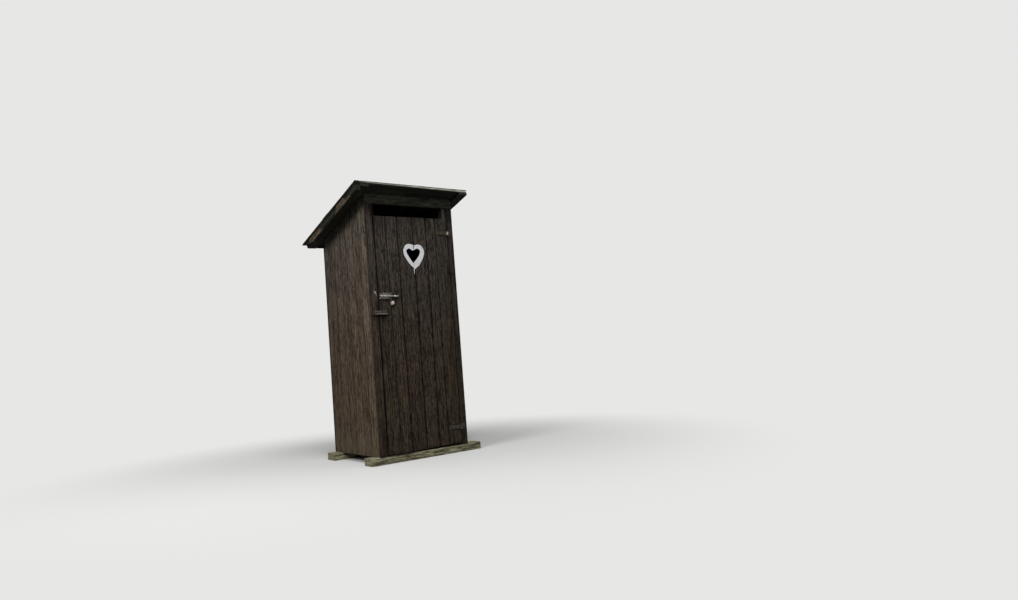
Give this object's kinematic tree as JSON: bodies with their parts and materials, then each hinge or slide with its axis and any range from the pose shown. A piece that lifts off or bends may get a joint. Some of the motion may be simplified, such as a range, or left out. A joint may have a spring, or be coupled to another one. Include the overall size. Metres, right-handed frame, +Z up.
{
  "type": "wooden outhouse",
  "caption": "Plank outhouse with a roof sloping to the back, a side-hung door with a heart cut-out, a vent slot, a barrel bolt and a turn bar, on timber sleepers.",
  "frame": {"origin": "bottom centre of the bounding box, level with the undersides of the sleepers", "axes": "+Z up, the door faces -Y, +X to the right when looking at the door"},
  "size_m": [1.174, 1.2021, 2.378],
  "materials": {
    "stained_boards": "matte",
    "dark_boards": "matte",
    "door_boards": "matte",
    "bare_timber": "matte",
    "grey_timber": "matte",
    "roof_boards": "matte",
    "bitumen_felt": "rough",
    "rusty_iron": "rusty",
    "zinc_steel": "dull zinc",
    "pale_brass": "worn"
  },
  "bodies": {
    "hut": {"left_wall": "stained_boards", "right_wall": "stained_boards", "rear_wall": "stained_boards", "left_barge_board": "stained_boards", "header_board": "dark_boards", "left_verge_board": "dark_boards", "right_verge_board": "dark_boards", "left_jamb_board": "dark_boards", "right_jamb_board": "dark_boards", "front_sill": "bare_timber", "rear_sill": "bare_timber", "left_sill": "bare_timber", "right_sill": "bare_timber", "floor_boards": "bare_timber", "front_left_post": "bare_timber", "front_right_post": "bare_timber", "rear_left_post": "bare_timber", "rear_right_post": "bare_timber", "front_top_rail": "bare_timber", "rear_top_rail": "bare_timber", "left_mid_rail": "bare_timber", "right_mid_rail": "bare_timber", "rear_mid_rail": "bare_timber", "left_rafter": "bare_timber", "middle_rafter": "bare_timber", "right_rafter": "bare_timber", "front_sleeper": "grey_timber", "rear_sleeper": "grey_timber", "roof_deck": "roof_boards", "roof_felt": "bitumen_felt", "upper_jamb_hinge": "rusty_iron", "lower_jamb_hinge": "rusty_iron", "bolt_keeper": "zinc_steel"},
    "door": {"door_leaf": "door_boards", "upper_ledge": "bare_timber", "lower_ledge": "bare_timber", "door_brace": "bare_timber", "upper_door_hinge": "rusty_iron", "lower_door_hinge": "rusty_iron", "bolt_plate": "zinc_steel", "padlock": "pale_brass", "bar_nail_and_washer": "rusty_iron"},
    "bolt": {"bolt_rod": "zinc_steel"},
    "bar": {"turn_bar": "grey_timber"}
  },
  "joints": [
    {"name": "door_swing", "type": "hinge", "parent": "hut", "child": "door", "pos_m": [0.383, -0.4509, 1], "axis": [0, 0, 1], "range_deg": [0, 115]},
    {"name": "bolt_slide", "type": "slide", "parent": "door", "child": "bolt", "axis": [-1, 0, 0], "range_m": [0, 0.035]},
    {"name": "bar_turn", "type": "hinge", "parent": "door", "child": "bar", "pos_m": [-0.321, -0.4569, 1.279], "axis": [0, -1, 0], "range_deg": [0, 90]}
  ]
}
